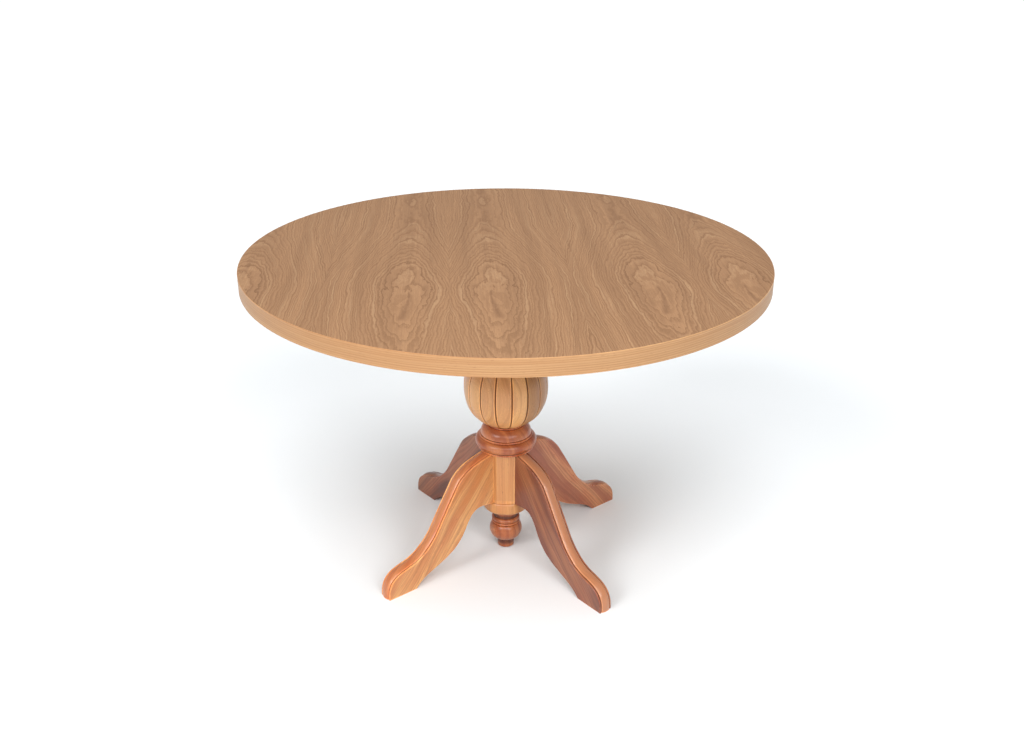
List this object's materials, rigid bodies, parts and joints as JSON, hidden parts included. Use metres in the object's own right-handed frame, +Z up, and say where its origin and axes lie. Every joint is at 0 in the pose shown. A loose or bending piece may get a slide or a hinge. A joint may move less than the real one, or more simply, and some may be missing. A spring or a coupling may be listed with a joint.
{
  "type": "round pedestal table",
  "caption": "Round veneered dining top on a turned, fluted pedestal with an octagonal column, scrolled legs and a drop finial.",
  "frame": {"origin": "on the floor, under the centre of the round top and on the axis of the turned pedestal", "axes": "+Z up along the pedestal; the legs point midway between +X and +Y, and so on round; the front of the table, seen between two legs, faces -Y; the face veneer's grain is turned 9 degrees from +Y towards -X"},
  "size_m": [1.2, 1.1998, 0.78],
  "materials": {
    "fibreboard": "raw medium-density fibreboard",
    "face_veneer": "crown-cut oak veneer, book-matched, clear matt lacquer",
    "backing_veneer": "plain backing veneer, thin matt lacquer",
    "edge_veneer": "straight-grained oak edge band, clear matt lacquer",
    "bearer_wood": "planed hardwood, thin matt lacquer",
    "turned_red_wood": "reddish hardwood, turned, clear satin lacquer",
    "bulb_wood": "pale reddish hardwood, turned and fluted, clear satin lacquer",
    "column_wood": "pale golden hardwood, planed, clear satin lacquer",
    "golden_leg_wood": "golden hardwood, shaped, clear satin lacquer",
    "red_leg_wood": "red-brown hardwood, shaped, clear satin lacquer",
    "dowel_wood": "beech dowel, unfinished",
    "zinc_steel": "bright zinc plate",
    "brass": "machined brass"
  },
  "bodies": {
    "root": {"core_upper": "fibreboard", "core_lower": "fibreboard", "face_leaf_1": "face_veneer", "face_leaf_2": "face_veneer", "face_leaf_3": "face_veneer", "face_leaf_4": "face_veneer", "face_leaf_5": "face_veneer", "backing_veneer": "backing_veneer", "edge_band": "edge_veneer", "bearer_long": "bearer_wood", "bearer_cross": "bearer_wood", "top_screws": "zinc_steel", "head_plate": "bearer_wood", "plate_screws": "zinc_steel", "neck_turning": "turned_red_wood", "fluted_bulb": "bulb_wood", "collar": "turned_red_wood", "column": "column_wood", "base_ring": "column_wood", "finial": "turned_red_wood", "finial_insert": "brass", "tie_rod": "zinc_steel", "tie_nuts": "zinc_steel", "tie_washers": "zinc_steel", "leg_front_left": "golden_leg_wood", "leg_front_right": "red_leg_wood", "leg_back_left": "red_leg_wood", "leg_back_right": "red_leg_wood", "leg_dowels": "dowel_wood", "leg_bolts": "zinc_steel", "leg_washers": "zinc_steel", "leg_nuts": "zinc_steel"}
  },
  "joints": []
}
